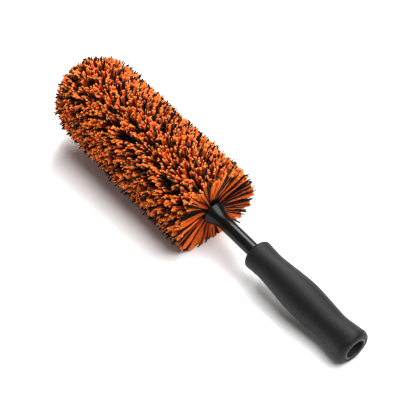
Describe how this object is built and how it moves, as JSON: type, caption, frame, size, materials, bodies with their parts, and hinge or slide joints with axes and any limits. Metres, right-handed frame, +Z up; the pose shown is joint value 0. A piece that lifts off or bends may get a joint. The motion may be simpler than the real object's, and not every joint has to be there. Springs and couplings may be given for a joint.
{
  "type": "wheel brush",
  "caption": "Hand brush for cleaning vehicle wheels: a long round pile with a domed nose on twisted wires, a flared shaft and a contoured foam grip with a hang hole in its end.",
  "frame": {"origin": "middle of the bottom of the bounding box, on the surface that the brush rests on", "axes": "+X runs along the brush as seen from above, towards the butt of the handle; +Z is up; the brush lies tilted about Y as it rests, its nose about 6 degrees above level"},
  "size_m": [0.4232, 0.092, 0.1023],
  "materials": {
    "grip_foam": "matte",
    "core_plastic": "matte",
    "ring_plastic": "satin",
    "shaft_plastic": "satin",
    "steel": "satin",
    "cap_rubber": "matte",
    "orange_yarn": "matte",
    "black_bristle": "matte"
  },
  "bodies": {
    "root": {"foam_grip": "grip_foam", "handle_core": "core_plastic", "end_ring": "ring_plastic", "cross_pin": "steel", "flared_shaft": "shaft_plastic", "stem_ferrule": "steel", "inner_wire": "steel", "outer_wire": "steel", "tip_cap": "cap_rubber", "yarn_layer_1": "orange_yarn", "bristle_layer_1": "black_bristle", "yarn_layer_2": "orange_yarn", "bristle_layer_2": "black_bristle", "yarn_layer_3": "orange_yarn", "bristle_layer_3": "black_bristle", "yarn_layer_4": "orange_yarn", "bristle_layer_4": "black_bristle", "yarn_layer_5": "orange_yarn", "bristle_layer_5": "black_bristle", "yarn_layer_6": "orange_yarn", "bristle_layer_6": "black_bristle", "yarn_layer_7": "orange_yarn", "bristle_layer_7": "black_bristle", "yarn_layer_8": "orange_yarn", "bristle_layer_8": "black_bristle", "yarn_layer_9": "orange_yarn", "bristle_layer_9": "black_bristle", "yarn_nose": "orange_yarn"}
  },
  "joints": []
}
